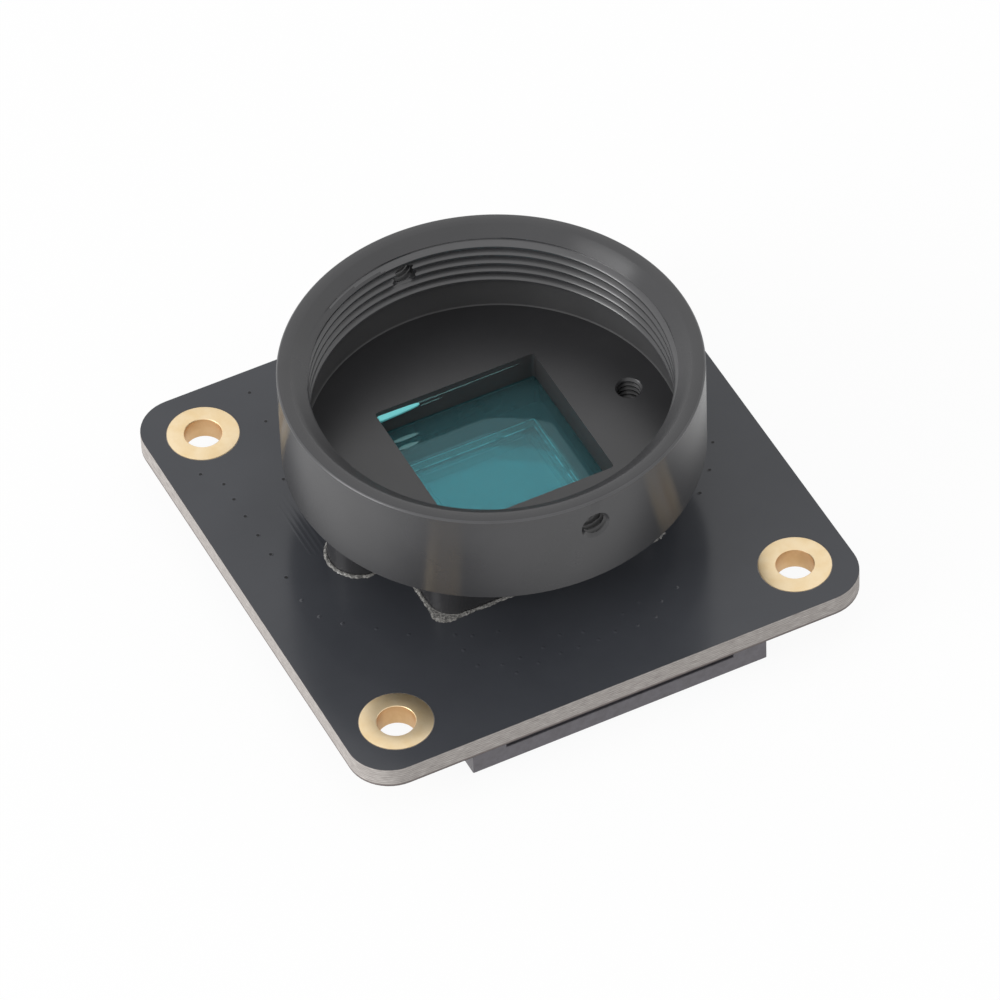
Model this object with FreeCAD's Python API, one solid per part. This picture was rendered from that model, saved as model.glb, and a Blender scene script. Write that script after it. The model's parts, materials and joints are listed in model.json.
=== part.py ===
import FreeCAD, Part
import math
import os

# Bare camera board with a CS lens collar on top and a flat cable connector below.
# Millimetres. The origin is the centre of the board's underside and +Z points out
# of the lens collar. The flat cable leaves along -Y. Names that end in _h are
# heights above the board's top face, and names that end in _d are depths below
# its underside.

# Circuit board and its four plated fixing holes
board_side = 38.0
board_thick = 1.6
board_corner_r = 3.0
fixing_spacing = 30.0
fixing_hole_r = 1.3
fixing_pad_r = 2.5
plating_thick = 0.05

# Image plane, and the flange distance of the lens standard
image_plane_h = 0.5
flange_distance = 12.526

# Lens collar, turned from one bar
collar_r = 14.4
rim_bevel = 0.1
rim_land_inner_r = 13.5
lead_in_deg = 30.0
thread_crest_r = 12.27
thread_end_h = 8.55
undercut_r = 12.85
floor_h = 5.77
floor_thick = 2.17
floor_bevel = 0.15
collar_bottom_h = 5.72
aperture_side = 12.08
aperture_corner_r = 0.25

# Tapped holes for the two lens lock screws, which are not fitted. Both are drilled in one
# line, which stands a little off the board's Y axis
lock_hole_r = 0.8
lock_hole_h = 10.65
lock_hole_turn_deg = 1.9

# Foot of the lens mount, with an ear for a screw on each side
foot_side = 16.8
foot_corner_r = 1.8
sensor_room_side = 13.8
sensor_room_corner_r = 0.6
ear_r = 2.3
ear_offset = 10.25
ear_hole_r = 0.85

# Screws that hold the mount from below
screw_core_r = 0.82
screw_length = 5.0
screw_hole_gap = 0.3
screw_head_r = 1.9
screw_head_d = 1.3
screw_recess_span = 2.0
screw_recess_width = 0.45
screw_recess_deep = 0.7

# Adhesive bead round the foot
bead_width = 0.3
bead_height = 0.2
bead_gap = 0.02
bead_corner_r = 1.1

# Filter glass, glued up against the floor of the collar
filter_side = 13.3
filter_thick = 0.75
filter_glue = 0.1
filter_glue_lip = 0.15

# Image sensor
package_x = 11.2
package_y = 9.1
package_top_h = 1.3
package_wall = 1.25
die_x = 7.4
die_y = 5.8
die_thick = 0.2
cover_x = 10.2
cover_y = 8.1
cover_thick = 0.7
cover_seal = 0.05
cover_seal_width = 0.5

# Flat cable connector under the edge, with a latch that slides out
way_count = 15
way_pitch = 1.0
connector_setback = 0.65
connector_length = 22.1
housing_depth = 4.4
housing_d = 2.55
latch_bar = 1.3
latch_d = 2.5
latch_gap = 0.05
latch_travel = 1.2
cable_mouth_width = 17.1
cable_mouth_d = 1.1
latch_top_gap = 0.1
latch_edge_bevel = 0.12
cavity_roof_d = 0.55
cavity_back_wall = 1.0
tongue_thick = 0.5
tongue_length = 2.6
tongue_gap = 0.1
arm_thick = 1.1
arm_top_d = 0.7
arm_bottom_d = 1.8
arm_length = 2.4
arm_gap = 0.08
hook_reach = 0.3
hook_length = 0.7
contact_width = 0.3
contact_thick = 0.15
contact_slot_gap = 0.06
contact_front_sill = 0.4
contact_tail = 1.0
contact_spring_d = 0.95
contact_bend_length = 1.2
tab_width = 1.5
tab_thick = 0.2
tab_reach = 0.7

# Clock oscillator in a ceramic package
oscillator_x = 3.2
oscillator_y = 2.5
oscillator_base_d = 0.65
oscillator_lid_d = 0.25
oscillator_lid_inset = 0.18
oscillator_edge = 5.4
oscillator_row_y = 6.6

# Three voltage regulators with five leads each
regulator_spacing = 6.6
regulator_edge = 8.0
regulator_x = 2.9
regulator_y = 1.6
regulator_d = 1.1
regulator_standoff = 0.1
regulator_draft = 0.08
lead_pitch = 0.95
lead_width = 0.4
lead_thick = 0.13
lead_span = 2.8
lead_foot = 0.4

# Chip capacitors and resistors
chip_length = 1.0
chip_width = 0.5
chip_cap_d = 0.5
chip_res_d = 0.35
chip_end = 0.22
chip_rows_y = 4.6
chip_row_pitch = 2.3
chip_row_count = 6
resistor_setback = 3.2
resistor_pitch = 1.8
resistor_count = 9
bulk_length = 1.6
bulk_width = 0.8
bulk_d = 0.8
bulk_end = 0.35
bulk_offset = 2.5

# Sizes that follow from the ones above
rim_h = image_plane_h + flange_distance
seat_h = floor_h - floor_thick
filter_top_h = seat_h - filter_glue
lead_in_drop = (rim_land_inner_r - thread_crest_r) * math.tan(math.radians(lead_in_deg))
thread_start_h = rim_h - lead_in_drop
cover_bottom_h = package_top_h + cover_seal
face_y = -board_side / 2 + connector_setback
housing_front_y = face_y + latch_bar + latch_gap
housing_back_y = housing_front_y + housing_depth
connector_half = connector_length / 2
cavity_half = cable_mouth_width / 2
tongue_half = cavity_half - tongue_gap
tongue_top_d = cable_mouth_d + latch_gap
tongue_bottom_d = tongue_top_d + tongue_thick
cavity_bottom_d = tongue_bottom_d + tongue_gap
cavity_back_y = housing_back_y - cavity_back_wall
latch_back_y = face_y + latch_bar
arm_inner_x = connector_half - arm_thick
arm_end_y = latch_back_y + arm_length
groove_inner_x = arm_inner_x - arm_gap
fixing_centres = [
    (-fixing_spacing / 2, -fixing_spacing / 2),
    (fixing_spacing / 2, -fixing_spacing / 2),
    (fixing_spacing / 2, fixing_spacing / 2),
    (-fixing_spacing / 2, fixing_spacing / 2),
]
ear_centres = [(-ear_offset, 0.0), (ear_offset, 0.0)]
oscillator_place = (-board_side / 2 + oscillator_edge, oscillator_row_y)
regulator_row_y = board_side / 2 - regulator_edge
resistor_row_y = housing_back_y + resistor_setback

UP = FreeCAD.Vector(0, 0, 1)
ALONG_X = FreeCAD.Vector(1, 0, 0)
ORIGIN = FreeCAD.Vector(0, 0, 0)


def box(low, high):
    """Box between two corners."""
    size = [high[i] - low[i] for i in range(3)]
    return Part.makeBox(size[0], size[1], size[2], FreeCAD.Vector(*low))


def round_bar(radius, x, y, low, high):
    """Upright cylinder between two heights."""
    return Part.makeCylinder(radius, high - low, FreeCAD.Vector(x, y, low), UP)


def rounded_plate(size_x, size_y, corner_r, low, high):
    """Upright prism with a rounded rectangle as its plan."""
    plate = box((-size_x / 2, -size_y / 2, low), (size_x / 2, size_y / 2, high))
    uprights = [e for e in plate.Edges if abs(e.BoundBox.ZLength - (high - low)) < 1e-6]
    return plate.makeFillet(corner_r, uprights)


def closed_face(points):
    """Flat face inside a loop of straight edges."""
    corners = [FreeCAD.Vector(*p) for p in points]
    return Part.Face(Part.makePolygon(corners + corners[:1]))


def above(height):
    """Height over the board's top face, turned into z."""
    return board_thick + height


def joined(solids):
    """One solid out of pieces that meet."""
    return solids[0].fuse(solids[1:]).removeSplitter()


def hung(shape, x, y, turn_deg=0.0):
    """A part drawn standing on z = 0, soldered upside down under the board."""
    placed = shape.copy()
    placed.rotate(ORIGIN, UP, turn_deg)
    placed.rotate(ORIGIN, ALONG_X, 180)
    placed.translate(FreeCAD.Vector(x, y, 0))
    return placed


def circuit_board():
    """Glass fibre board with a raised gold pad on both faces round each fixing hole."""
    board = rounded_plate(board_side, board_side, board_corner_r, 0, board_thick)
    pads = [round_bar(fixing_pad_r, x, y, -plating_thick, board_thick + plating_thick)
            for x, y in fixing_centres]
    holes = [round_bar(fixing_hole_r, x, y, -plating_thick, board_thick + plating_thick)
             for x, y in fixing_centres]
    holes += [round_bar(screw_core_r + screw_hole_gap, x, y, 0, board_thick)
              for x, y in ear_centres]
    return joined([board] + pads).cut(holes)


def foot_solid(grow, low, high):
    """Plan of the foot, a rounded square with two round ears, grown by a margin."""
    side = foot_side + 2 * grow
    block = rounded_plate(side, side, foot_corner_r + grow, low, high)
    ears = [round_bar(ear_r + grow, x, y, low, high) for x, y in ear_centres]
    return joined([block] + ears)


def collar_solid():
    """Cup turned round the lens axis: rim, thread bore, undercut and floor."""
    under_r = collar_r - (collar_bottom_h - seat_h)
    profile = closed_face([
        (0, 0, above(seat_h)),
        (under_r, 0, above(seat_h)),
        (collar_r, 0, above(collar_bottom_h)),
        (collar_r, 0, above(rim_h - rim_bevel)),
        (collar_r - rim_bevel, 0, above(rim_h)),
        (rim_land_inner_r, 0, above(rim_h)),
        (thread_crest_r, 0, above(thread_start_h)),
        (thread_crest_r, 0, above(thread_end_h)),
        (undercut_r, 0, above(thread_end_h)),
        (undercut_r, 0, above(floor_h + floor_bevel)),
        (undercut_r - floor_bevel, 0, above(floor_h)),
        (0, 0, above(floor_h)),
    ])
    return profile.revolve(ORIGIN, UP, 360)


def lens_mount():
    """Cup on a hollow foot, with the aperture, the ear holes and the lock holes."""
    body = joined([collar_solid(), foot_solid(0, above(0), above(seat_h))])
    sensor_room = rounded_plate(sensor_room_side, sensor_room_side, sensor_room_corner_r,
                                above(0), above(seat_h))
    aperture = rounded_plate(aperture_side, aperture_side, aperture_corner_r,
                             above(seat_h) - 1, above(floor_h) + 1)
    tools = [sensor_room, aperture]
    for x, y in ear_centres:
        tools.append(round_bar(ear_hole_r, x, y, above(0), above(floor_h)))
    turn = math.radians(lock_hole_turn_deg)
    for side in (-1, 1):
        outward = FreeCAD.Vector(math.sin(turn), -math.cos(turn), 0) * side
        mouth = outward * collar_r + UP * above(lock_hole_h)
        tools.append(Part.makeCylinder(lock_hole_r, collar_r - thread_crest_r + 1,
                                       mouth, outward * -1))
    return body.cut(tools)


def mount_screw(x, y):
    """Cross recessed cheese head screw, up through the board into an ear."""
    head = round_bar(screw_head_r, 0, 0, 0, screw_head_d)
    shank = round_bar(screw_core_r, 0, 0, -screw_length, 0)
    half = screw_recess_span / 2
    wide = screw_recess_width / 2
    low = screw_head_d - screw_recess_deep
    cross = [box((-half, -wide, low), (half, wide, screw_head_d)),
             box((-wide, -half, low), (wide, half, screw_head_d))]
    return hung(joined([head, shank]).cut(cross), x, y)


def adhesive_bead():
    """Bead of glue on the board, all the way round the foot, wider at the corners."""
    grow = bead_gap + bead_width
    side = foot_side + 2 * grow
    block = rounded_plate(side, side, bead_corner_r, above(0), above(bead_height))
    ears = [round_bar(ear_r + grow, x, y, above(0), above(bead_height))
            for x, y in ear_centres]
    return joined([block] + ears).cut(foot_solid(bead_gap, above(0), above(bead_height)))


def filter_glass():
    """Square infrared filter under the aperture, cut with plain edges."""
    half = filter_side / 2
    return box((-half, -half, above(filter_top_h - filter_thick)),
               (half, half, above(filter_top_h)))


def filter_adhesive():
    """Thin frame of glue between the filter and the floor of the collar."""
    outer = filter_side / 2
    inner = aperture_side / 2 + filter_glue_lip
    frame = box((-outer, -outer, above(filter_top_h)), (outer, outer, above(seat_h)))
    return frame.cut(box((-inner, -inner, above(filter_top_h)),
                         (inner, inner, above(seat_h))))


def sensor_package():
    """Ceramic tray with a raised wall round the silicon."""
    tray = box((-package_x / 2, -package_y / 2, above(0)),
               (package_x / 2, package_y / 2, above(package_top_h)))
    well_x = package_x / 2 - package_wall
    well_y = package_y / 2 - package_wall
    return tray.cut(box((-well_x, -well_y, above(image_plane_h - die_thick)),
                        (well_x, well_y, above(package_top_h))))


def sensor_die():
    """Silicon with the image plane as its top face."""
    return box((-die_x / 2, -die_y / 2, above(image_plane_h - die_thick)),
               (die_x / 2, die_y / 2, above(image_plane_h)))


def sensor_glass_seal():
    """Resin frame that holds the cover glass on the wall of the package."""
    frame = box((-cover_x / 2, -cover_y / 2, above(package_top_h)),
                (cover_x / 2, cover_y / 2, above(cover_bottom_h)))
    inner_x = cover_x / 2 - cover_seal_width
    inner_y = cover_y / 2 - cover_seal_width
    return frame.cut(box((-inner_x, -inner_y, above(package_top_h)),
                         (inner_x, inner_y, above(cover_bottom_h))))


def sensor_cover_glass():
    """Clear lid of the sensor."""
    return box((-cover_x / 2, -cover_y / 2, above(cover_bottom_h)),
               (cover_x / 2, cover_y / 2, above(cover_bottom_h + cover_thick)))


def way_centres():
    """X of each contact of the connector."""
    return [(n - (way_count - 1) / 2) * way_pitch for n in range(way_count)]


def ffc_housing():
    """Moulded housing: cable cavity, contact slots and a latch groove at each end."""
    body = box((-connector_half, housing_front_y, -housing_d),
               (connector_half, housing_back_y, 0))
    tools = [box((-cavity_half, housing_front_y, -cavity_bottom_d),
                 (cavity_half, cavity_back_y, -cavity_roof_d))]
    slot_half = contact_width / 2 + contact_slot_gap
    for x in way_centres():
        tools.append(box((x - slot_half, housing_front_y + contact_front_sill,
                          -cavity_roof_d),
                         (x + slot_half, housing_back_y, 0)))
    groove_top = arm_top_d - arm_gap
    groove_low = arm_bottom_d + arm_gap
    groove_end = arm_end_y + arm_gap
    hook_start = arm_end_y - hook_length - latch_travel - arm_gap
    for side in (-1, 1):
        x_far = side * (connector_half + 1)
        x_near = side * groove_inner_x
        x_hook = side * (groove_inner_x - hook_reach)
        tools.append(box((min(x_far, x_near), housing_front_y - 1, -groove_low),
                         (max(x_far, x_near), groove_end, -groove_top)))
        tools.append(box((min(x_hook, x_near), hook_start, -groove_low),
                         (max(x_hook, x_near), groove_end, -groove_top)))
    return body.cut(tools)


def ffc_latch():
    """Slider: front bar round the cable mouth, wedge tongue and two hooked arms."""
    bar = box((-connector_half, face_y, -latch_d),
              (connector_half, latch_back_y, -latch_top_gap))
    mouth = box((-cavity_half, face_y - 1, -cable_mouth_d),
                (cavity_half, latch_back_y + 1, 0))
    bar_edges = [e for e in bar.Edges
                 if e.BoundBox.YMax < face_y + 1e-6 and e.BoundBox.XLength > connector_half]
    bar = bar.makeChamfer(latch_edge_bevel, bar_edges).cut(mouth)
    tip_y = latch_back_y + tongue_length
    tongue = closed_face([
        (-tongue_half, latch_back_y, -tongue_top_d),
        (-tongue_half, latch_back_y, -tongue_bottom_d),
        (-tongue_half, tip_y, -tongue_bottom_d),
        (-tongue_half, tip_y, -tongue_bottom_d + tongue_thick / 2),
        (-tongue_half, tip_y - tongue_thick, -tongue_top_d),
    ]).extrude(FreeCAD.Vector(2 * tongue_half, 0, 0))
    pieces = [bar, tongue]
    for side in (-1, 1):
        x_out = side * connector_half
        x_in = side * arm_inner_x
        x_hook = side * (arm_inner_x - hook_reach)
        pieces.append(closed_face([
            (x_out, latch_back_y, -arm_bottom_d),
            (x_in, latch_back_y, -arm_bottom_d),
            (x_in, arm_end_y - hook_length, -arm_bottom_d),
            (x_hook, arm_end_y - hook_length, -arm_bottom_d),
            (x_in, arm_end_y, -arm_bottom_d),
            (x_out, arm_end_y, -arm_bottom_d),
        ]).extrude(FreeCAD.Vector(0, 0, arm_bottom_d - arm_top_d)))
    return joined(pieces)


def ffc_contact(x):
    """Stamped spring: tail on the board, and a finger that bends down into the cavity."""
    left = x - contact_width / 2
    back = housing_back_y
    knee = back - contact_thick
    tip = housing_front_y + contact_front_sill + contact_slot_gap
    bend = tip + contact_bend_length
    lift = 2 * contact_thick
    flat = closed_face([
        (left, back + contact_tail, 0),
        (left, back + contact_tail, -contact_thick),
        (left, back, -contact_thick),
        (left, knee, -lift - contact_thick),
        (left, bend, -lift - contact_thick),
        (left, tip, -contact_spring_d),
        (left, tip, -contact_spring_d + contact_thick),
        (left, bend, -lift),
        (left, knee, -lift),
        (left, back, 0),
    ])
    return flat.extrude(FreeCAD.Vector(contact_width, 0, 0))


def ffc_solder_tab(side):
    """Sheet metal tab from the end of the housing down to its pad."""
    x_in = side * connector_half
    x_out = side * (connector_half + tab_reach)
    x_wall = side * (connector_half + tab_thick)
    low_y = housing_back_y - tab_width
    plan = closed_face([
        (x_in, low_y, 0),
        (x_out, low_y, 0),
        (x_out, low_y, -tab_thick),
        (x_wall, low_y, -tab_thick),
        (x_wall, low_y, -housing_d / 2),
        (x_in, low_y, -housing_d / 2),
    ])
    return plan.extrude(FreeCAD.Vector(0, tab_width, 0))


def oscillator_base():
    """Ceramic base."""
    base = box((-oscillator_x / 2, -oscillator_y / 2, 0),
               (oscillator_x / 2, oscillator_y / 2, oscillator_base_d))
    return hung(base, *oscillator_place)


def oscillator_lid():
    """Seam welded metal lid."""
    half_x = oscillator_x / 2 - oscillator_lid_inset
    half_y = oscillator_y / 2 - oscillator_lid_inset
    lid = box((-half_x, -half_y, oscillator_base_d),
              (half_x, half_y, oscillator_base_d + oscillator_lid_d))
    return hung(lid, *oscillator_place)


def regulator_centres():
    """X of each regulator in the row."""
    return [-regulator_spacing, 0.0, regulator_spacing]


def regulator_body(x):
    """Moulded body with drafted sides."""
    top = regulator_d
    low = regulator_standoff
    middle = (low + top) / 2

    def outline(inset, height):
        half_x = regulator_x / 2 - inset
        half_y = regulator_y / 2 - inset
        corners = [(-half_x, -half_y, height), (half_x, -half_y, height),
                   (half_x, half_y, height), (-half_x, half_y, height)]
        return Part.makePolygon([FreeCAD.Vector(*c) for c in corners + corners[:1]])

    lower = Part.makeLoft([outline(regulator_draft, low), outline(0, middle)], True, True)
    upper = Part.makeLoft([outline(0, middle), outline(regulator_draft, top)], True, True)
    return hung(joined([lower, upper]), x, regulator_row_y)


def regulator_lead_set(x):
    """Five bent leads, three on one side and two on the other."""
    middle = (regulator_standoff + regulator_d) / 2
    knee = regulator_y / 2 + lead_thick
    foot_end = lead_span / 2
    foot_start = foot_end - lead_foot
    leads = []
    for side, places in ((-1, (-1, 0, 1)), (1, (-1, 1))):
        for place in places:
            left = place * lead_pitch - lead_width / 2
            # The top of the lead drops from the body's parting line to the foot
            flat = closed_face([
                (left, side * regulator_y / 2, middle + lead_thick / 2),
                (left, side * (knee + lead_thick), middle + lead_thick / 2),
                (left, side * (foot_start + lead_thick), lead_thick),
                (left, side * foot_end, lead_thick),
                (left, side * foot_end, 0),
                (left, side * foot_start, 0),
                (left, side * knee, middle - lead_thick / 2),
                (left, side * regulator_y / 2, middle - lead_thick / 2),
            ])
            leads.append(hung(flat.extrude(FreeCAD.Vector(lead_width, 0, 0)),
                              x, regulator_row_y))
    return leads


def small_cap_places():
    """Two rows of small capacitors behind the sensor, each with its turn."""
    half = (chip_row_count - 1) / 2
    return [((n - half) * chip_row_pitch, side * chip_rows_y, 90.0)
            for side in (-1, 1) for n in range(chip_row_count)]


def resistor_places():
    """Row of resistors between the sensor and the connector."""
    half = (resistor_count - 1) / 2
    return [((n - half) * resistor_pitch, resistor_row_y, 90.0)
            for n in range(resistor_count)]


def bulk_cap_places():
    """Larger capacitors, one on each side of every regulator."""
    return [(x + side * bulk_offset, regulator_row_y, 90.0)
            for x in regulator_centres() for side in (-1, 1)]


def chip_body(length, width, height, end):
    """Ceramic middle of a chip part."""
    half = length / 2 - end
    return box((-half, -width / 2, 0), (half, width / 2, height))


def chip_ends(length, width, height, end):
    """Tinned ends of a chip part."""
    return [box((-length / 2, -width / 2, 0), (-length / 2 + end, width / 2, height)),
            box((length / 2 - end, -width / 2, 0), (length / 2, width / 2, height))]


small_cap = (chip_length, chip_width, chip_cap_d, chip_end)
bulk_cap = (bulk_length, bulk_width, bulk_d, bulk_end)
resistor = (chip_length, chip_width, chip_res_d, chip_end)


def capacitor_bodies():
    """All the capacitors' ceramic bodies."""
    bodies = [hung(chip_body(*small_cap), *place) for place in small_cap_places()]
    bodies += [hung(chip_body(*bulk_cap), *place) for place in bulk_cap_places()]
    return Part.Compound(bodies)


def resistor_bodies():
    """All the resistors' bodies."""
    return Part.Compound([hung(chip_body(*resistor), *place)
                          for place in resistor_places()])


def chip_terminals():
    """Tinned ends of every capacitor and resistor."""
    ends = []
    for sizes, places in ((small_cap, small_cap_places()), (bulk_cap, bulk_cap_places()),
                          (resistor, resistor_places())):
        for place in places:
            ends += [hung(end, *place) for end in chip_ends(*sizes)]
    return Part.Compound(ends)


nodes = {
    "circuit_board": circuit_board(),
    "lens_mount": lens_mount(),
    "mount_screws": Part.Compound([mount_screw(x, y) for x, y in ear_centres]),
    "adhesive_bead": adhesive_bead(),
    "filter_glass": filter_glass(),
    "filter_adhesive": filter_adhesive(),
    "sensor_package": sensor_package(),
    "sensor_die": sensor_die(),
    "sensor_glass_seal": sensor_glass_seal(),
    "sensor_cover_glass": sensor_cover_glass(),
    "ffc_housing": ffc_housing(),
    "ffc_latch": ffc_latch(),
    "ffc_contacts": Part.Compound([ffc_contact(x) for x in way_centres()]),
    "ffc_solder_tabs": Part.Compound([ffc_solder_tab(side) for side in (-1, 1)]),
    "oscillator_base": oscillator_base(),
    "oscillator_lid": oscillator_lid(),
    "capacitor_bodies": capacitor_bodies(),
    "resistor_bodies": resistor_bodies(),
    "chip_terminals": chip_terminals(),
}
regulator_leads = []
for number, x in enumerate(regulator_centres(), start=1):
    nodes[f"regulator_{number}"] = regulator_body(x)
    regulator_leads += regulator_lead_set(x)
nodes["regulator_leads"] = Part.Compound(regulator_leads)

os.makedirs("parts", exist_ok=True)
for name, shape in nodes.items():
    shape.exportStep(f"parts/{name}.step")
    print(name, len(shape.Solids), round(shape.Volume, 3), shape.isValid())
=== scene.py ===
import json
import math
import random

import bmesh
import bpy
from mathutils import Matrix, Quaternion, Vector, noise


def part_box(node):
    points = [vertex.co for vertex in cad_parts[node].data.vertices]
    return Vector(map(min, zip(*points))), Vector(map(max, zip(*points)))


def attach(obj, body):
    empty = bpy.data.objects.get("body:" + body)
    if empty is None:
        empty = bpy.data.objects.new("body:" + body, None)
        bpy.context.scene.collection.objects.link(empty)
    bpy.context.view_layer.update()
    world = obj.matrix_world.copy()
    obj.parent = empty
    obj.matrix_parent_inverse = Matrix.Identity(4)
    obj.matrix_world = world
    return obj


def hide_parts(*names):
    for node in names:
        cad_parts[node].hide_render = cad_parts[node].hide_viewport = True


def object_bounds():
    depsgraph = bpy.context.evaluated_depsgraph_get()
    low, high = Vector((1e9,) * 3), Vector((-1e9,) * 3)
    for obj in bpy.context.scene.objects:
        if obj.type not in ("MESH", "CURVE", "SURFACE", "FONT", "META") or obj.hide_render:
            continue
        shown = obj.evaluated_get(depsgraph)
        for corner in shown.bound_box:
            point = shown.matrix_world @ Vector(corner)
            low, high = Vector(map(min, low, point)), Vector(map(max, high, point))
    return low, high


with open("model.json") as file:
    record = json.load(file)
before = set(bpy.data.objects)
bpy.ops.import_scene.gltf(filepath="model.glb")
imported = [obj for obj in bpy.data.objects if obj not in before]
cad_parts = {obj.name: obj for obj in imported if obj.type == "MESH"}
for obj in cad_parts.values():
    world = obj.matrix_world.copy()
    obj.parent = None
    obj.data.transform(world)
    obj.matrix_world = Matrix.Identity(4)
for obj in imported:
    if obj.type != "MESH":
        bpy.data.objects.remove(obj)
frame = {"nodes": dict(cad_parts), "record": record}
cad_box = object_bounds()

# Laminate: plies of woven glass pressed with epoxy, drilled and routed to its outline.
# Only its cut edge shows, a layered beige strip under the black coating.
# Every mesh is drawn in millimetres, and as_piece brings it to metres.
mm = 0.001


def box_mm(node):
    """Lowest and highest corner of a CAD node, in millimetres."""
    low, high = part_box(node)
    return low / mm, high / mm


def as_piece(name, drawing, *materials, sharp_deg=32.0):
    """Turns a bmesh drawn in millimetres into an object with smooth faces and crisp edges."""
    mesh = bpy.data.meshes.new(name)
    bmesh.ops.recalc_face_normals(drawing, faces=drawing.faces)
    drawing.to_mesh(mesh)
    drawing.free()
    mesh.transform(Matrix.Scale(mm, 4))
    for material in materials:
        mesh.materials.append(material)
    mesh.polygons.foreach_set("use_smooth", [True] * len(mesh.polygons))
    mesh.set_sharp_from_angle(angle=math.radians(sharp_deg))
    piece = bpy.data.objects.new(name, mesh)
    bpy.context.collection.objects.link(piece)
    # Flat faces keep their own normals, so that only the rounded edges catch the light
    shading = piece.modifiers.new("flat_faces_stay_flat", "WEIGHTED_NORMAL")
    shading.keep_sharp = True
    return piece


def circle(radius, x=0.0, y=0.0, steps=64):
    """Loop of points round a centre."""
    turns = [2 * math.pi * n / steps for n in range(steps)]
    return [(x + radius * math.cos(a), y + radius * math.sin(a)) for a in turns]


def rounded_square(half, corner_r, steps=12):
    """Loop of points along a square with round corners, from its +X +Y corner."""
    points = []
    for quarter in range(4):
        middle = math.radians(45 + 90 * quarter)
        reach = (half - corner_r) * math.sqrt(2)
        for n in range(steps + 1):
            turn = middle + math.radians(90 * n / steps - 45)
            points.append((reach * math.cos(middle) + corner_r * math.cos(turn),
                           reach * math.sin(middle) + corner_r * math.sin(turn)))
    return points


def plate(loops, low, high, bevel=0.0):
    """Flat plate between two heights, from its outline and the loops of its holes."""
    curve = bpy.data.curves.new("plate", "CURVE")
    curve.dimensions = "2D"
    curve.fill_mode = "BOTH"
    curve.extrude = (high - low) / 2 - bevel
    curve.bevel_depth = bevel
    curve.bevel_resolution = 1
    curve.offset = -bevel
    for loop in loops:
        spline = curve.splines.new("POLY")
        spline.points.add(len(loop) - 1)
        for point, (x, y) in zip(spline.points, loop):
            point.co = (x, y, 0, 1)
        spline.use_cyclic_u = True
    holder = bpy.data.objects.new("plate", curve)
    mesh = bpy.data.meshes.new_from_object(holder)
    bpy.data.objects.remove(holder)
    drawing = bmesh.new()
    drawing.from_mesh(mesh)
    bpy.data.meshes.remove(mesh)
    bmesh.ops.remove_doubles(drawing, verts=drawing.verts, dist=1e-4)
    bmesh.ops.translate(drawing, verts=drawing.verts, vec=(0, 0, (low + high) / 2))
    return drawing


def linear(code):
    """sRGB hex colour as the linear colour that a shader takes."""
    shares = [int(code[i:i + 2], 16) / 255 for i in (0, 2, 4)]
    return [s / 12.92 if s <= 0.04045 else ((s + 0.055) / 1.055) ** 2.4 for s in shares] + [1]


def add_node(tree, kind, sockets=None, **settings):
    """Adds one node: sockets are values or links by name or number, settings its own options."""
    node = tree.nodes.new(kind)
    for name, value in settings.items():
        setattr(node, name, value)
    for key, value in (sockets or {}).items():
        if isinstance(value, bpy.types.NodeSocket):
            tree.links.new(value, node.inputs[key])
        else:
            node.inputs[key].default_value = value
    return node


def new_material(name):
    """Material with an empty node tree."""
    material = bpy.data.materials.new(name)
    material.use_nodes = True
    material.node_tree.nodes.clear()
    return material, material.node_tree


def color_ramp(tree, factor, *stops):
    """Ramp through (position, hex colour) stops."""
    node = add_node(tree, "ShaderNodeValToRGB", {"Fac": factor})
    elements = node.color_ramp.elements
    while len(elements) < len(stops):
        elements.new(0.5)
    for element, (position, code) in zip(elements, stops):
        element.position = position
        element.color = linear(code)
    return node.outputs["Color"]


# Glass fibre laminate, routed: dull and dry, with the plies as fine lines along the edge.
ply = 0.175
fibre_length = 0.7
fibre_width = 0.05
laminate, tree = new_material("glass_fibre_laminate")
place = add_node(tree, "ShaderNodeTexCoord").outputs["Object"]
stretched = add_node(tree, "ShaderNodeVectorMath", {
    0: place, 1: (1 / (fibre_length * mm), 1 / (fibre_length * mm), 1 / (fibre_width * mm))},
    operation="MULTIPLY")
fibres = add_node(tree, "ShaderNodeTexNoise", {
    "Vector": stretched.outputs[0], "Scale": 1.0, "Detail": 4.0, "Roughness": 0.65})
# A wave repeats every pi / 10 units of its scaled length
plies = add_node(tree, "ShaderNodeTexWave", {
    "Vector": place, "Scale": math.pi / 10 / (ply * mm), "Distortion": 0.6, "Detail": 1.0,
    "Detail Scale": 0.5}, bands_direction="Z")
layered = add_node(tree, "ShaderNodeMix", {
    "Factor": 0.85, 2: plies.outputs["Fac"], 3: fibres.outputs["Fac"]})
cut_color = color_ramp(tree, layered.outputs[0], (0.3, "7c7673"), (0.46, "99938f"),
                       (0.58, "aaa5a1"), (0.72, "c6c1bc"))
# The cut edge is darker along its lowest ply
height = add_node(tree, "ShaderNodeSeparateXYZ", {0: place})
lowest_ply_darkening = add_node(tree, "ShaderNodeMapRange", {
    "Value": height.outputs["Z"], "From Min": 0.1 * mm, "From Max": 0.24 * mm,
    "To Min": 0.85, "To Max": 0.0})
edge_color = add_node(tree, "ShaderNodeMix", {
    "Factor": lowest_ply_darkening.outputs[0], 6: cut_color, 7: linear("554a48")}, data_type="RGBA").outputs[2]
bump = add_node(tree, "ShaderNodeBump", {
    "Strength": 0.5, "Distance": 0.03 * mm, "Height": fibres.outputs["Fac"]})
shader = add_node(tree, "ShaderNodeBsdfPrincipled", {
    "Base Color": edge_color, "Roughness": 0.75, "IOR": 1.5, "Normal": bump.outputs[0]})
add_node(tree, "ShaderNodeOutputMaterial", {"Surface": shader.outputs[0]})

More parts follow.
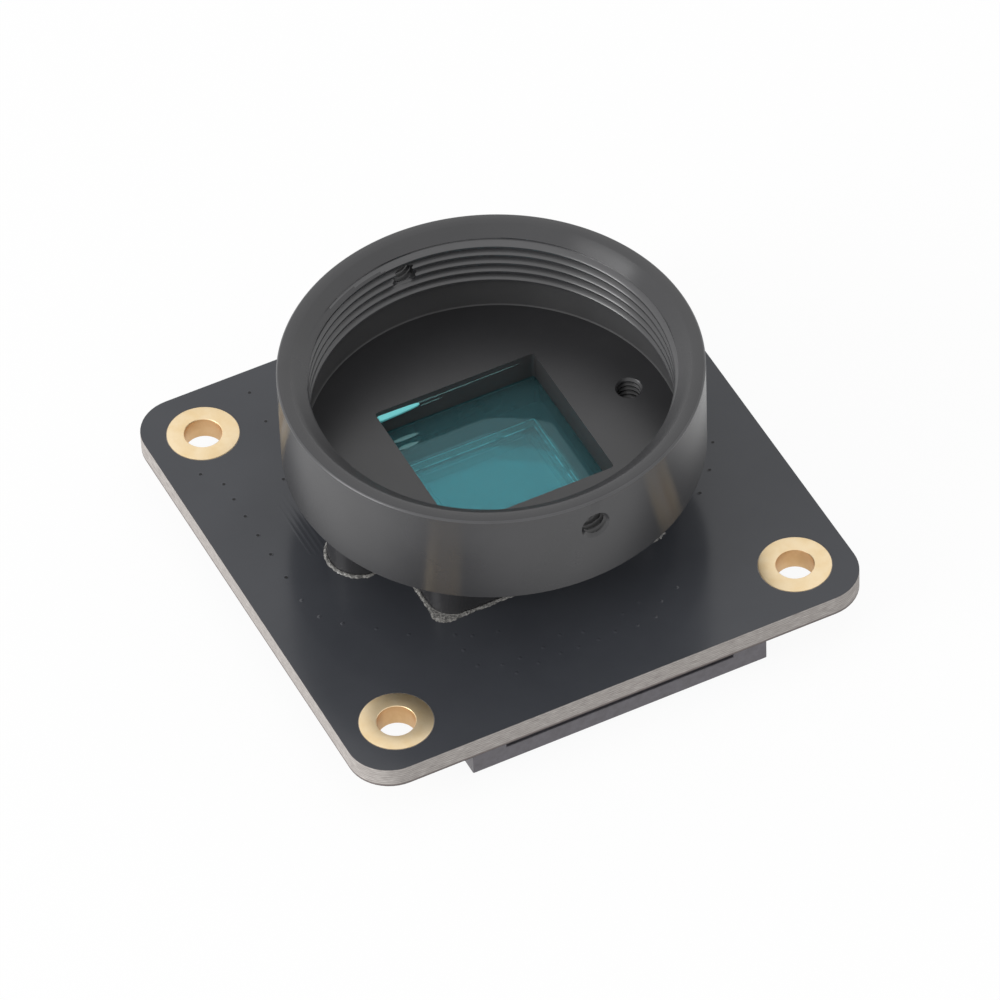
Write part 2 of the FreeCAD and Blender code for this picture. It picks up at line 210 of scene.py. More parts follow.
board_low, board_high = box_mm("circuit_board")
plating = 0.05
coat = 0.02
board_top = board_high.z - plating
board_bottom = board_low.z + plating
board_half = board_high.x
board_corner_r = 3.0
bore_r = 1.3
barrel_wall = 0.035
screw_hole_r = 1.12
record = frame["record"]
hole_spacing = next(mount["dims"]["spacing_x_mm"] for mount in record["mounts"]
                    if mount["name"] == "board_holes")
fixing_places = [(side_x * hole_spacing / 2, side_y * hole_spacing / 2)
                 for side_x in (-1, 1) for side_y in (-1, 1)]
screws_low, screws_high = box_mm("mount_screws")
screw_head_r = (screws_high.y - screws_low.y) / 2
ear_places = [(screws_low.x + screw_head_r, 0.0), (screws_high.x - screw_head_r, 0.0)]

outline = rounded_square(board_half, board_corner_r)
holes = [circle(bore_r + barrel_wall, x, y) for x, y in fixing_places]
holes += [circle(screw_hole_r, x, y) for x, y in ear_places]
core = as_piece("board_laminate",
                plate([outline] + holes, board_bottom + coat, board_top - coat, 0.02), laminate)
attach(core, "camera")
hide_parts("circuit_board")

# Solder mask: black photo-cured epoxy flooded over both faces and left open round the gold
# pads. It ends at the routed edge.
pad_r = 2.5
mask_setback = 0.01
mask_gap = 0.05

# Black solder mask, glossy as poured lacquer: it mirrors the white surroundings and the collar.
weave_pitch = 0.5
mask, tree = new_material("black_solder_mask")
place = add_node(tree, "ShaderNodeTexCoord").outputs["Object"]
cloud = add_node(tree, "ShaderNodeTexNoise", {
    "Vector": place, "Scale": 1 / (6 * mm), "Detail": 3.0, "Roughness": 0.5})
mask_color = color_ramp(tree, cloud.outputs["Fac"], (0.3, "3b3d42"), (0.7, "404247"))
# The glass cloth shows through the lacquer as a very faint checker of low bumps
weave = add_node(tree, "ShaderNodeTexWave", {
    "Vector": place, "Scale": math.pi / 10 / (weave_pitch * mm), "Distortion": 1.0},
    bands_direction="X")
weft = add_node(tree, "ShaderNodeTexWave", {
    "Vector": place, "Scale": math.pi / 10 / (weave_pitch * mm), "Distortion": 1.0},
    bands_direction="Y")
cloth = add_node(tree, "ShaderNodeMath", {0: weave.outputs["Fac"], 1: weft.outputs["Fac"]},
                 operation="MULTIPLY")
peel = add_node(tree, "ShaderNodeTexNoise", {
    "Vector": place, "Scale": 1 / (0.35 * mm), "Detail": 2.0, "Roughness": 0.5})
relief = add_node(tree, "ShaderNodeMix", {
    "Factor": 0.75, 2: cloth.outputs[0], 3: peel.outputs["Fac"]})
bump = add_node(tree, "ShaderNodeBump", {
    "Strength": 0.07, "Distance": 0.01 * mm, "Height": relief.outputs[0]})
shader = add_node(tree, "ShaderNodeBsdfPrincipled", {
    "Base Color": mask_color, "Roughness": 0.18, "IOR": 1.48, "Normal": bump.outputs[0]})
add_node(tree, "ShaderNodeOutputMaterial", {"Surface": shader.outputs[0]})

mask_outline = rounded_square(board_half - mask_setback, board_corner_r - mask_setback)
openings = [circle(pad_r + mask_gap, x, y) for x, y in fixing_places]
openings += [circle(screw_hole_r + mask_gap, x, y) for x, y in ear_places]
for face, low, high in (("top", board_top - coat, board_top),
                        ("bottom", board_bottom, board_bottom + coat)):
    # A low limit keeps the glossy face dead flat up to its edges
    layer = as_piece(f"solder_mask_{face}", plate([mask_outline] + openings, low, high, 0.005),
                     mask, sharp_deg=10)
    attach(layer, "camera")

# Fixing holes: copper barrel and ring pads on both faces, plated with nickel and gold.
# The rings stand proud of the coating, and the barrel lines the bore.


def turned(profile, steps=96, x=0.0, y=0.0, closed=False):
    """Solid turned round an upright axis from its (radius, height) points."""
    drawing = bmesh.new()
    points = [drawing.verts.new((r, 0, z)) for r, z in profile]
    lines = [drawing.edges.new(pair) for pair in zip(points, points[1:])]
    if closed:
        lines.append(drawing.edges.new((points[-1], points[0])))
    bmesh.ops.spin(drawing, geom=points + lines, cent=(0, 0, 0), axis=(0, 0, 1),
                   angle=2 * math.pi, steps=steps, use_merge=True)
    bmesh.ops.remove_doubles(drawing, verts=drawing.verts, dist=1e-5)
    bmesh.ops.translate(drawing, verts=drawing.verts, vec=(x, y, 0))
    return drawing


def gold_plate(name, dark, light, roughness):
    """Gold between two hex colours, with faint brushed clouds."""
    material, tree = new_material(name)
    place = add_node(tree, "ShaderNodeTexCoord").outputs["Object"]
    cloud = add_node(tree, "ShaderNodeTexNoise", {
        "Vector": place, "Scale": 1 / (1.2 * mm), "Detail": 4.0, "Roughness": 0.6})
    grain = add_node(tree, "ShaderNodeTexNoise", {
        "Vector": place, "Scale": 1 / (0.08 * mm), "Detail": 2.0})
    bump = add_node(tree, "ShaderNodeBump", {
        "Strength": 0.12, "Distance": 0.01 * mm, "Height": grain.outputs["Fac"]})
    shader = add_node(tree, "ShaderNodeBsdfPrincipled", {
        "Base Color": color_ramp(tree, cloud.outputs["Fac"], (0.35, dark), (0.65, light)),
        "Metallic": 1.0, "Roughness": roughness, "Normal": bump.outputs[0]})
    add_node(tree, "ShaderNodeOutputMaterial", {"Surface": shader.outputs[0]})
    return material


# Immersion gold over copper: pale, warm and soft.
gold = gold_plate("immersion_gold", "efd5a8", "f5e0bb", 0.42)

# Gold in the drilled barrels: darker, browner and duller than on the pads.
barrel_gold = gold_plate("gold_in_drilled_hole", "d4ae7e", "debb8e", 0.5)

rim_round = 0.05
pad_profile = [
    (bore_r, board_low.z + 2 * rim_round),
    (bore_r, board_high.z - 2 * rim_round),
    (bore_r + 0.3 * rim_round, board_high.z - 0.6 * rim_round),
    (bore_r + rim_round, board_high.z),
    (pad_r - rim_round, board_high.z),
    (pad_r, board_high.z - 0.6 * rim_round),
    (pad_r, board_top - coat),
    (bore_r + barrel_wall, board_top - coat),
    (bore_r + barrel_wall, board_bottom + coat),
    (pad_r, board_bottom + coat),
    (pad_r, board_low.z + 0.6 * rim_round),
    (pad_r - rim_round, board_low.z),
    (bore_r + rim_round, board_low.z),
    (bore_r + 0.3 * rim_round, board_low.z + 0.6 * rim_round),
]
for number, (x, y) in enumerate(fixing_places, start=1):
    drawing = turned(pad_profile, x=x, y=y, closed=True)
    for face in drawing.faces:
        spot = face.calc_center_median()
        face.material_index = int(math.hypot(spot.x - x, spot.y - y) < bore_r + 0.01)
    ring = as_piece(f"fixing_hole_plating_{number}", drawing, gold, barrel_gold)
    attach(ring, "camera")

# Vias: drilled and plated holes that join the copper layers. Those at the sides are open, a low
# ring round a dark disc painted as the shade in the hole. Those in front are plugged with mask, a
# low dome each.


def joined(drawings):
    """One bmesh out of several."""
    whole = bmesh.new()
    for drawing in drawings:
        mesh = bpy.data.meshes.new("part")
        drawing.to_mesh(mesh)
        drawing.free()
        whole.from_mesh(mesh)
        bpy.data.meshes.remove(mesh)
    return whole


def plain_material(name, code, sockets):
    """Material of one hex colour, with its other values by socket name."""
    material, tree = new_material(name)
    shader = add_node(tree, "ShaderNodeBsdfPrincipled", {"Base Color": linear(code), **sockets})
    add_node(tree, "ShaderNodeOutputMaterial", {"Surface": shader.outputs[0]})
    return material


# Painted shade for an open via's hole: a matt, nearly black disc.
via_hole_shade_paint = plain_material("via_hole_painted_shade", "141416", {"Roughness": 0.6, "IOR": 1.45})

via_ring_r = 0.19
via_hole_r = 0.11
via_height = 0.008
open_vias = [
    (-10.5, 17.0), (-10.7, 14.0), (-12.0, 8.5), (-16.8, 11.6), (-15.8, 10.0), (-15.8, 8.4),
    (-15.8, 6.6), (-15.8, 4.6), (-15.8, 2.6), (-15.8, 0.2), (15.4, -2.3), (14.0, -4.5),
    (12.4, -6.1), (9.6, -7.4), (13.6, 3.2), (15.2, 6.8), (12.6, 11.4), (9.4, 15.6),
    (4.2, 16.2), (-2.8, 16.4),
]
plugged_vias = [
    (-15.8, -2.2), (-15.4, -4.1), (-14.3, -5.4), (-12.5, -6.9), (-10.8, -8.4), (-8.1, -9.9),
    (-7.1, -10.5), (-8.2, -11.4), (-8.0, -13.1), (-6.5, -13.8), (-6.0, -14.9), (-5.2, -13.8),
    (-4.3, -14.8), (-3.4, -13.7), (-5.4, -11.0), (-1.9, -13.2), (-0.4, -13.7), (-1.3, -14.8),
    (-2.6, -14.7), (0.2, -14.8), (1.5, -14.7), (2.7, -13.5), (4.1, -13.1), (3.1, -14.9),
    (4.5, -14.8), (5.5, -13.7), (7.0, -13.1),
]


def via_rings(places, face, outward):
    """Low ring of mask round each via on one face."""
    lift = outward * via_height
    profile = [(via_hole_r, face), (via_hole_r + 0.02, face + lift),
               (via_ring_r - 0.03, face + lift), (via_ring_r, face)]
    return joined([turned(profile, 16, x, y, closed=True) for x, y in places])


def via_painted_shade_discs(places, face, outward):
    """Dark disc in the middle of each via, painted as the shade of its hole."""
    dots = [turned([(0, face + outward * 0.003), (via_hole_r, face + outward * 0.005),
                    (via_hole_r, face)], 16, x, y) for x, y in places]
    return joined(dots)


def via_domes(places, face, outward):
    """Low dome of mask over each plugged via."""
    domes = [turned([(0, face + outward * 0.03), (0.07, face + outward * 0.024),
                     (0.12, face + outward * 0.008), (0.15, face)], 16, x, y) for x, y in places]
    return joined(domes)


for face_name, face, outward in (("top", board_top, 1), ("bottom", board_bottom, -1)):
    plugged = [(x, y) for x, y in plugged_vias if outward > 0 or y > -11.4 or abs(x) > 12.2]
    rings = as_piece(f"via_rings_{face_name}", via_rings(open_vias, face, outward), mask)
    # Near-black discs painted as the shade inside each open via
    centres = as_piece(f"via_painted_shade_discs_{face_name}", via_painted_shade_discs(open_vias, face, outward), via_hole_shade_paint)
    domes = as_piece(f"via_domes_{face_name}", via_domes(plugged, face, outward), mask)
    for piece in (rings, centres, domes):
        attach(piece, "camera")

# Copper tracks: etched lines under the mask that show only as faint raised strips. Five run
# side by side next to the collar on top, and short ones lead from the connector below.


def skin(drawing, loops, closed=False):
    """Joins loops of points in turn, and caps the two ends unless they are joined as well."""
    for near, far in zip(loops, loops[1:] + loops[:1] if closed else loops[1:]):
        for k in range(len(near)):
            following = (k + 1) % len(near)
            drawing.faces.new((near[k], near[following], far[following], far[k]))
    if not closed:
        drawing.faces.new(loops[0])
        drawing.faces.new(loops[-1])


def track(points, width, height, face):
    """Raised strip with sloped sides along a line of points, its ends square."""
    drawing = bmesh.new()
    slope = 0.05
    rows = []
    for n, point in enumerate(points):
        before = Vector(points[max(n - 1, 0)])
        after = Vector(points[min(n + 1, len(points) - 1)])
        here = Vector(point)
        into = (here - before).normalized() if n else (after - here).normalized()
        out = (after - here).normalized() if n < len(points) - 1 else into
        along = (into + out).normalized()
        side = Vector((-along.y, along.x)) / max(along.dot(into), 0.5)
        row = []
        for across, lift in ((-width / 2 - slope, 0), (-width / 2, height),
                             (width / 2, height), (width / 2 + slope, 0)):
            spot = here + side * across
            row.append(drawing.verts.new((spot.x, spot.y, face + lift)))
        rows.append(row)
    skin(drawing, rows)
    return drawing


track_width = 0.13
track_height = 0.006
bundle_size = 5
bundle_first_x = -13.4
bundle_pitch = 0.36
bundle = []
for n in range(bundle_size):
    x = bundle_first_x + n * bundle_pitch
    bundle.append(track([(x, 6.4 + n * 0.4), (x, 1.3 - n * 0.25)], track_width, track_height,
                        board_top))
tracks = as_piece("tracks_top", joined(bundle), mask)
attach(tracks, "camera")

tails_y = box_mm("ffc_contacts")[1].y
way_pitch = 1.0
way_count = 15
fan = []
for n in range(way_count):
    x = (n - (way_count - 1) / 2) * way_pitch
    fan.append(track([(x, tails_y - 0.6), (x, tails_y + 0.5),
                      (x * 0.93, tails_y + 1.1), (x * 0.93, tails_y + 1.6)],
                     track_width, -track_height, board_bottom))
for side in (-1, 1):
    for n in range(6):
        x = side * (3.0 + 0.5 * n)
        fan.append(track([(x, -8.4), (x, -6.0 - 0.3 * n), (x * 0.8, -5.6)],
                         track_width, -track_height, board_bottom))
        y = 8.2 + 0.45 * n
        fan.append(track([(side * 15.2, y - 1.5), (side * 13.6, y), (side * 10.8, y)],
                         track_width, -track_height, board_bottom))
tracks = as_piece("tracks_bottom", joined(fan), mask)
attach(tracks, "camera")

# Chip capacitors: stacked ceramic bodies with tinned ends, soldered under the board in rows.


def cad_drawing(node):
    """The CAD node's solids as a bmesh in millimetres, each flat face in one piece."""
    drawing = bmesh.new()
    drawing.from_mesh(frame["nodes"][node].data)
    bmesh.ops.scale(drawing, vec=(1 / mm,) * 3, verts=drawing.verts)
    bmesh.ops.remove_doubles(drawing, verts=drawing.verts, dist=1e-4)
    bmesh.ops.dissolve_limit(drawing, angle_limit=math.radians(1), verts=drawing.verts,
                             edges=drawing.edges)
    return drawing


def eased(drawing, width, segments=2, least_deg=30):
    """The same solids with every sharp edge rounded."""
    edges = [e for e in drawing.edges if e.is_manifold
             and e.calc_face_angle(0) > math.radians(least_deg)]
    bmesh.ops.bevel(drawing, geom=edges, offset=width, segments=segments, profile=0.5,
                    affect="EDGES", clamp_overlap=True)
    return drawing


def solid_boxes(node):
    """Lowest and highest corner of each separate solid of a node, in millimetres."""
    drawing = cad_drawing(node)
    unseen = set(drawing.verts)
    boxes = []
    while unseen:
        group = [unseen.pop()]
        for vertex in group:
            for edge in vertex.link_edges:
                other = edge.other_vert(vertex)
                if other in unseen:
                    unseen.remove(other)
                    group.append(other)
        places = [v.co for v in group]
        boxes.append((Vector(map(min, *places)), Vector(map(max, *places))))
    drawing.free()
    return boxes


def speckled_material(name, noise_sockets, dark, light, sockets, relief=0.0):
    """Material with specks between two (position, hex colour) stops, raised by a bump if asked."""
    material, tree = new_material(name)
    place = add_node(tree, "ShaderNodeTexCoord").outputs["Object"]
    specks = add_node(tree, "ShaderNodeTexNoise", {"Vector": place, **noise_sockets})
    sockets = {**sockets, "Base Color": color_ramp(tree, specks.outputs["Fac"], dark, light)}
    if relief:
        bump = add_node(tree, "ShaderNodeBump", {
            "Strength": relief, "Distance": 0.01 * mm, "Height": specks.outputs["Fac"]})
        sockets["Normal"] = bump.outputs[0]
    shader = add_node(tree, "ShaderNodeBsdfPrincipled", sockets)
    add_node(tree, "ShaderNodeOutputMaterial", {"Surface": shader.outputs[0]})
    return material


# Capacitor ceramic: fired barium titanate, warm brown and slightly speckled.
capacitor = speckled_material(
    "capacitor_ceramic", {"Scale": 1 / (0.12 * mm), "Detail": 3.0},
    (0.35, "84674b"), (0.65, "a3835f"), {"Roughness": 0.45, "IOR": 1.6})

piece = as_piece("capacitor_blocks", eased(cad_drawing("capacitor_bodies"), 0.03), capacitor)
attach(piece, "camera")
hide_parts("capacitor_bodies")

# Chip resistors: alumina chips with a black glazed face turned to the viewer.

# Overglaze on a chip resistor: glossy black glass print.
glaze = speckled_material(
    "resistor_overglaze", {"Scale": 1 / (0.2 * mm), "Detail": 2.0},
    (0.4, "1d1d20"), (0.6, "27272b"), {"Roughness": 0.28, "IOR": 1.5})

piece = as_piece("resistor_chips", eased(cad_drawing("resistor_bodies"), 0.025), glaze)
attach(piece, "camera")
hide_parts("resistor_bodies")

# Chip terminations: the tinned ends of every capacitor and resistor, with a concave solder
# fillet from each down to its pad on the board.

# Tin solder, reflowed: bright, cool grey and a little frosted.
solder, tree = new_material("reflowed_solder")
place = add_node(tree, "ShaderNodeTexCoord").outputs["Object"]
frost = add_node(tree, "ShaderNodeTexNoise", {
    "Vector": place, "Scale": 1 / (0.1 * mm), "Detail": 3.0})
bump = add_node(tree, "ShaderNodeBump", {
    "Strength": 0.25, "Distance": 0.01 * mm, "Height": frost.outputs["Fac"]})
shader = add_node(tree, "ShaderNodeBsdfPrincipled", {
    "Base Color": linear("c9cacc"), "Metallic": 1.0, "Roughness": 0.3,
    "Normal": bump.outputs[0]})
add_node(tree, "ShaderNodeOutputMaterial", {"Surface": shader.outputs[0]})

piece = as_piece("chip_end_caps", eased(cad_drawing("chip_terminals"), 0.03), solder)
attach(piece, "camera")
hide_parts("chip_terminals")


def fillet(low_x, high_x, wall_y, outward, reach, height):
    """Solder climbing in a hollow curve from the board up a wall that faces along Y."""
    drawing = bmesh.new()
    curve = [(reach, 0.0), (0.55 * reach, 0.12 * height), (0.25 * reach, 0.38 * height),
             (0.0, 0.8 * height), (0.0, 0.0)]
    inset = 0.12 * (high_x - low_x)
    loops = []
    for x, share in ((low_x, 0.6), (low_x + inset, 1.0), (high_x - inset, 1.0), (high_x, 0.6)):
        loops.append([drawing.verts.new((x, wall_y + outward * run * share,
                                         board_bottom - rise * share)) for run, rise in curve])
    skin(drawing, loops)
    return drawing


large_chip_width = 0.6
large_cap_length = 0.35
small_cap_length = 0.22
chip_fillet_reach = 0.22
chip_fillet_limit = 0.45
chip_fillet_share = 0.75
fillets = []
for node in ("capacitor_bodies", "resistor_bodies"):
    for low, high in solid_boxes(node):
        cap = large_cap_length if high.x - low.x > large_chip_width else small_cap_length
        tall = min(chip_fillet_limit, chip_fillet_share * (high.z - low.z))
        for wall, outward in ((low.y - cap, -1), (high.y + cap, 1)):
            fillets.append(fillet(low.x, high.x, wall, outward, chip_fillet_reach, tall))
piece = as_piece("chip_solder_fillets", joined(fillets), solder, sharp_deg=60)
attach(piece, "camera")

# Clock oscillator: a crystal in a ceramic tub with a seam welded metal lid.

# Alumina tub, fired: warm grey-brown and dull.
tub = speckled_material(
    "fired_alumina", {"Scale": 1 / (0.15 * mm), "Detail": 3.0},
    (0.35, "8d8474"), (0.65, "a59b89"), {"Roughness": 0.6, "IOR": 1.7})

piece = as_piece("oscillator_tub", eased(cad_drawing("oscillator_base"), 0.06), tub)
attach(piece, "camera")
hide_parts("oscillator_base")

# Rolled nickel iron lid: satin, with a brushed grain along X.
lid_metal, tree = new_material("rolled_nickel_iron")
place = add_node(tree, "ShaderNodeTexCoord").outputs["Object"]
long_grain = add_node(tree, "ShaderNodeVectorMath", {0: place, 1: (
    1 / (1.5 * mm), 1 / (0.04 * mm), 1 / (0.04 * mm))}, operation="MULTIPLY")
grain = add_node(tree, "ShaderNodeTexNoise", {
    "Vector": long_grain.outputs[0], "Scale": 1.0, "Detail": 3.0})
bump = add_node(tree, "ShaderNodeBump", {
    "Strength": 0.2, "Distance": 0.01 * mm, "Height": grain.outputs["Fac"]})
shader = add_node(tree, "ShaderNodeBsdfPrincipled", {
    "Base Color": linear("cfcdc8"), "Metallic": 1.0, "Roughness": 0.32,
    "Normal": bump.outputs[0]})
add_node(tree, "ShaderNodeOutputMaterial", {"Surface": shader.outputs[0]})

piece = as_piece("oscillator_cover", eased(cad_drawing("oscillator_lid"), 0.05, 3), lid_metal)
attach(piece, "camera")
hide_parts("oscillator_lid")

# Voltage regulators: moulded epoxy bodies with a pin-one dimple, on stamped tinned leads.

# Moulding compound: black epoxy filled with silica, fine and matt.
compound = speckled_material(
    "moulding_compound", {"Scale": 1 / (0.06 * mm), "Detail": 3.0},
    (0.35, "27282a"), (0.7, "333437"), {"Roughness": 0.55, "IOR": 1.5}, relief=0.35)


def carved(base, tool, operation="DIFFERENCE"):
    """A bmesh after a boolean with another, both used up."""
    holders = []
    for name, drawing in (("base", base), ("tool", tool)):
        mesh = bpy.data.meshes.new(name)
        bmesh.ops.recalc_face_normals(drawing, faces=drawing.faces)
        drawing.to_mesh(mesh)
        drawing.free()
        holder = bpy.data.objects.new(name, mesh)
        bpy.context.collection.objects.link(holder)
        holders.append(holder)
    modifier = holders[0].modifiers.new("cut", "BOOLEAN")
    modifier.operation = operation
    modifier.solver = "EXACT"
    modifier.object = holders[1]
    graph = bpy.context.evaluated_depsgraph_get()
    mesh = bpy.data.meshes.new_from_object(holders[0].evaluated_get(graph))
    result = bmesh.new()
    result.from_mesh(mesh)
    for holder in holders:
        bpy.data.objects.remove(holder)
    bmesh.ops.remove_doubles(result, verts=result.verts, dist=1e-5)
    return result


dimple_r = 0.17
dimple_inset_x = 0.45
dimple_inset_y = 0.42
for number in (1, 2, 3):
    low, high = box_mm(f"regulator_{number}")
    dimple = turned([(0, low.z - 0.1), (dimple_r, low.z - 0.1), (dimple_r, low.z),
                     (dimple_r * 0.8, low.z + 0.04), (0, low.z + 0.05)], 24,
                    low.x + dimple_inset_x, low.y + dimple_inset_y)
    body = eased(cad_drawing(f"regulator_{number}"), 0.03)
    piece = as_piece(f"regulator_body_{number}", carved(body, dimple), compound)
    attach(piece, "camera")
    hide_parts(f"regulator_{number}")

piece = as_piece("regulator_lead_frames", eased(cad_drawing("regulator_leads"), 0.02, 1), solder)
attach(piece, "camera")
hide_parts("regulator_leads")

toe_overlap = 0.03
toe_fillet_reach = 0.2
toe_fillet_height = 0.16
row_low, row_high = box_mm("regulator_1")
toe_fillets = []
for low, high in solid_boxes("regulator_leads"):
    outward = 1 if low.y + high.y > row_low.y + row_high.y else -1
    toe = high.y if outward > 0 else low.y
    toe_fillets.append(fillet(low.x - toe_overlap, high.x + toe_overlap, toe, outward,
                              toe_fillet_reach, toe_fillet_height))
piece = as_piece("lead_solder_fillets", joined(toe_fillets), solder, sharp_deg=60)
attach(piece, "camera")

# Cable connector housing: moulded in glass filled polymer, with one slot for each contact.

# Glass filled liquid crystal polymer: dark grey, satin, with faint flow streaks along X.
housing_plastic, tree = new_material("glass_filled_polymer")
place = add_node(tree, "ShaderNodeTexCoord").outputs["Object"]
flow = add_node(tree, "ShaderNodeVectorMath", {0: place, 1: (
    1 / (1.6 * mm), 1 / (0.25 * mm), 1 / (0.25 * mm))}, operation="MULTIPLY")
streaks = add_node(tree, "ShaderNodeTexNoise", {
    "Vector": flow.outputs[0], "Scale": 1.0, "Detail": 4.0, "Roughness": 0.6})
housing_color = color_ramp(tree, streaks.outputs["Fac"], (0.3, "353437"), (0.7, "434144"))
bump = add_node(tree, "ShaderNodeBump", {
    "Strength": 0.3, "Distance": 0.01 * mm, "Height": streaks.outputs["Fac"]})
shader = add_node(tree, "ShaderNodeBsdfPrincipled", {
    "Base Color": housing_color, "Roughness": 0.45, "IOR": 1.55, "Normal": bump.outputs[0]})
add_node(tree, "ShaderNodeOutputMaterial", {"Surface": shader.outputs[0]})

piece = as_piece("connector_housing", eased(cad_drawing("ffc_housing"), 0.03, 1), housing_plastic)
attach(piece, "camera")
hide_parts("ffc_housing")

# Connector contacts: stamped phosphor bronze springs, gold plated, soldered at their tails.
piece = as_piece("connector_contacts", eased(cad_drawing("ffc_contacts"), 0.02, 1), gold)
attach(piece, "camera")
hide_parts("ffc_contacts")

tail_overlap = 0.05
tail_fillet_reach = 0.22
tail_fillet_height = 0.18
tail_fillets = [fillet(low.x - tail_overlap, high.x + tail_overlap, high.y, 1,
                       tail_fillet_reach, tail_fillet_height)
                for low, high in solid_boxes("ffc_contacts")]
piece = as_piece("contact_solder_fillets", joined(tail_fillets), solder, sharp_deg=60)
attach(piece, "camera")

# Connector solder tabs: bent tinned sheet at both ends that hold the housing to the board.
piece = as_piece("connector_tabs", eased(cad_drawing("ffc_solder_tabs"), 0.03), solder)
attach(piece, "camera")
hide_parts("ffc_solder_tabs")

# Connector latch: a moulded slider round the cable's mouth. Pulled out it frees the cable.

# Moulded nylon, a shade lighter than the housing: soft sheen over a faintly mottled skin.
latch_plastic = speckled_material(
    "moulded_nylon", {"Scale": 1 / (0.5 * mm), "Detail": 4.0, "Roughness": 0.6},
    (0.3, "565357"), (0.7, "656268"), {"Roughness": 0.42, "IOR": 1.53}, relief=0.3)

piece = as_piece("connector_latch", eased(cad_drawing("ffc_latch"), 0.05), latch_plastic)
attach(piece, "latch")
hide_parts("ffc_latch")

# Sensor package: a fired ceramic tray, soldered to the board, with a wall round the silicon.

# Dark co-fired ceramic: nearly black and dull, a little cool.
dark_ceramic = speckled_material(
    "dark_cofired_ceramic", {"Scale": 1 / (0.2 * mm), "Detail": 3.0},
    (0.35, "12171b"), (0.65, "181e22"), {"Roughness": 0.45, "IOR": 1.35})

piece = as_piece("sensor_tray", eased(cad_drawing("sensor_package"), 0.06), dark_ceramic)
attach(piece, "camera")
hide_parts("sensor_package")

# Sensor die: silicon glued in the tray. Its pixels cover the middle, a grey-green field inside
# a darker border with the bond pads.
die_high = box_mm("sensor_die")[1]
pixel_margin_x = 0.9
pixel_margin_y = 0.75

# Silicon under colour filters and microlenses: dark grey-green, with a faint wide sheen.
silicon, tree = new_material("microlensed_silicon")
place = add_node(tree, "ShaderNodeTexCoord").outputs["Object"]
apart = add_node(tree, "ShaderNodeSeparateXYZ", {0: place})
across = add_node(tree, "ShaderNodeMath", {0: apart.outputs["X"]}, operation="ABSOLUTE")
along = add_node(tree, "ShaderNodeMath", {0: apart.outputs["Y"]}, operation="ABSOLUTE")
inside_x = add_node(tree, "ShaderNodeMath", {
    0: across.outputs[0], 1: (die_high.x - pixel_margin_x) * mm}, operation="LESS_THAN")
inside_y = add_node(tree, "ShaderNodeMath", {
    0: along.outputs[0], 1: (die_high.y - pixel_margin_y) * mm}, operation="LESS_THAN")
pixels = add_node(tree, "ShaderNodeMath", {0: inside_x.outputs[0], 1: inside_y.outputs[0]},
                  operation="MULTIPLY")
die_color = add_node(tree, "ShaderNodeMix", {
    "Factor": pixels.outputs[0], 6: linear("161b1e"), 7: linear("171c17")}, data_type="RGBA")
shader = add_node(tree, "ShaderNodeBsdfPrincipled", {
    "Base Color": die_color.outputs[2], "Roughness": 0.45, "IOR": 1.25})
add_node(tree, "ShaderNodeOutputMaterial", {"Surface": shader.outputs[0]})

piece = as_piece("sensor_silicon", eased(cad_drawing("sensor_die"), 0.01, 1), silicon)
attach(piece, "camera")
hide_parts("sensor_die")

# Sensor window: a clear glass lid sealed to the tray's wall with a frame of dark resin. Its ground
# edges are frosted, and the arris along them carries a painted glint.

# Filled epoxy, cured: dull and nearly black.
seal_resin = plain_material("filled_epoxy", "3c3d3d", {"Roughness": 0.6, "IOR": 1.5})

for node in ("sensor_glass_seal", "filter_adhesive"):
    frame["nodes"][node].data.materials.clear()
    frame["nodes"][node].data.materials.append(seal_resin)


def coated_glass(name, mirror_code, metallic, pane_code, mirror_share):
    """Clear pane of one hex colour under a mirror of another."""
    material, tree = new_material(name)
    mirror = add_node(tree, "ShaderNodeBsdfPrincipled", {
        "Base Color": linear(mirror_code), "Metallic": metallic, "Roughness": 0.02})
    through = add_node(tree, "ShaderNodeBsdfTransparent", {"Color": linear(pane_code)})
    shader = add_node(tree, "ShaderNodeMixShader", {
        0: mirror_share, 1: through.outputs[0], 2: mirror.outputs[0]})
    add_node(tree, "ShaderNodeOutputMaterial", {"Surface": shader.outputs[0]})
    return material


# Polished cover glass: nearly all see-through, with a mirror share on each face.
window = coated_glass("polished_cover_glass", "eafafa", 0.85, "fafdfd", 0.13)

# Ground glass edge: frosted, grey with a green cast.
ground_edge = plain_material("ground_glass_edge", "75857f", {"Roughness": 0.4, "IOR": 1.5})

# Arris between the polished face and the ground edge: painted near white in patches as a painted
# glint, grey between them.
arris_painted_glint = speckled_material(
    "glass_arris_painted_glint", {"Scale": 1 / (1.6 * mm), "Detail": 2.0},
    (0.42, "66736e"), (0.5, "fbfffd"), {"Roughness": 0.3, "IOR": 1.5})


def sheet_of_glass(node, chamfer, arris):
    """The CAD glass with ground chamfers and, between them and the polished faces, an arris."""
    drawing = eased(eased(cad_drawing(node), chamfer, 1), arris, 1, 20)
    drawing.normal_update()
    for face in drawing.faces:
        level = abs(face.normal.z)
        face.material_index = 0 if level > 0.99 else 2 if level > 0.75 else 1
    return drawing


# A low limit keeps the polished faces dead flat, so that what they mirror isn't bent
window_sheet = sheet_of_glass("sensor_cover_glass", 0.3, 0.05)
piece = as_piece("sensor_window", window_sheet, window, ground_edge, arris_painted_glint, sharp_deg=10)
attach(piece, "camera")
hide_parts("sensor_cover_glass")

# Infrared filter: a square of coated glass glued up against the floor of the collar. The
# coating reflects cyan and passes the rest, so the sensor behind it looks teal.

# Interference coating on glass: a cyan mirror share on each face over a blue-green pane.
filter_coat = coated_glass("interference_coating", "bcf0f7", 0.4, "c2f5fa", 0.12)

# Cut edge of the filter: ground, and painted dark teal as a painted shade, so it shows no bright
# line.
filter_edge_painted_shade = plain_material("filter_edge_painted_dark", "23494c", {"Roughness": 0.35, "IOR": 1.52})

